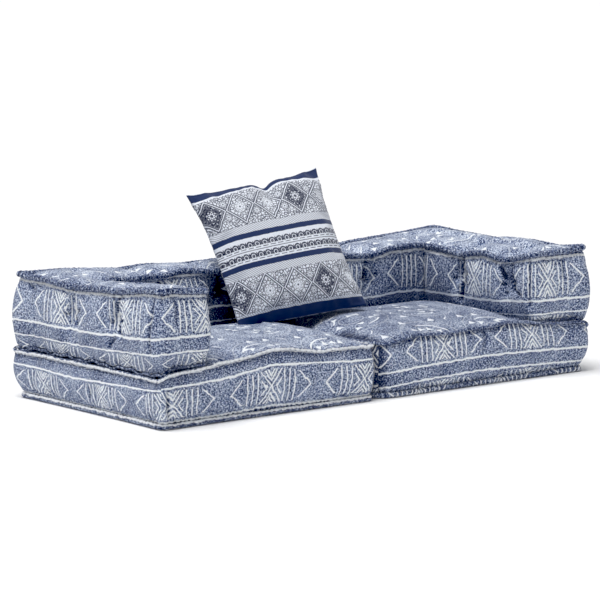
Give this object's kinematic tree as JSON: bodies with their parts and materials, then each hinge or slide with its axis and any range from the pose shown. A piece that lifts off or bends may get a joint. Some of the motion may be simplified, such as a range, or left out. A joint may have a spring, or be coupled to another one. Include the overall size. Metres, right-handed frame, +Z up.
{
  "type": "modular sofa",
  "caption": "Low modular floor sofa of box cushions in woven print: seats, L-shaped tufted bolsters as arms and back, and a throw pillow.",
  "frame": {"origin": "on the floor at the middle of the sofa's footprint", "axes": "+X along the sofa to the sitter's left, seen from the front to the right; +Y to the back; +Z up"},
  "size_m": [1.6604, 0.73, 0.6433],
  "materials": {
    "woven_print": "matte",
    "foam": "matte",
    "twine": "matte",
    "pillow_print": "matte",
    "pillow_filling": "matte",
    "zip_tape": "matte",
    "zip_nylon": "satin",
    "zip_metal": "satin"
  },
  "bodies": {
    "left_seat": {"left_seat_core": "foam", "left_seat_cover": "woven_print", "left_seat_top_welt": "woven_print", "left_seat_bottom_roll": "woven_print"},
    "left_bolster": {"left_bolster_core": "foam", "left_bolster_cover": "woven_print", "left_bolster_bottom_welt": "woven_print", "left_bolster_top_welt": "woven_print", "left_bolster_ties": "twine"},
    "right_seat": {"right_seat_core": "foam", "right_seat_cover": "woven_print", "right_seat_top_welt": "woven_print", "right_seat_bottom_roll": "woven_print"},
    "right_bolster": {"right_bolster_core": "foam", "right_bolster_cover": "woven_print", "right_bolster_bottom_welt": "woven_print", "right_bolster_top_welt": "woven_print", "right_bolster_ties": "twine"},
    "pillow": {"pillow_cover": "pillow_print", "pillow_insert": "pillow_filling", "pillow_zip_tapes": "zip_tape", "pillow_zip_teeth": "zip_nylon", "pillow_zip_stops": "zip_nylon"},
    "zip_slider": {"pillow_zip_slider": "zip_metal", "pillow_zip_pull": "zip_metal"}
  },
  "joints": [
    {"name": "left_bolster_lift", "type": "slide", "parent": "left_seat", "child": "left_bolster", "axis": [0, 0.7071, 0.7071], "range_m": [0, 0.35]},
    {"name": "right_module_slide", "type": "slide", "parent": "left_seat", "child": "right_seat", "axis": [1, 0, 0], "range_m": [0, 0.4]},
    {"name": "right_bolster_lift", "type": "slide", "parent": "right_seat", "child": "right_bolster", "axis": [0, 0.7071, 0.7071], "range_m": [0, 0.35]},
    {"name": "pillow_lift", "type": "slide", "parent": "left_seat", "child": "pillow", "axis": [0, -0.5, 0.866], "range_m": [0, 0.3]},
    {"name": "zip_slide", "type": "slide", "parent": "pillow", "child": "zip_slider", "axis": [0.9815, -0.1519, 0.1167], "range_m": [0, 0.33]}
  ]
}
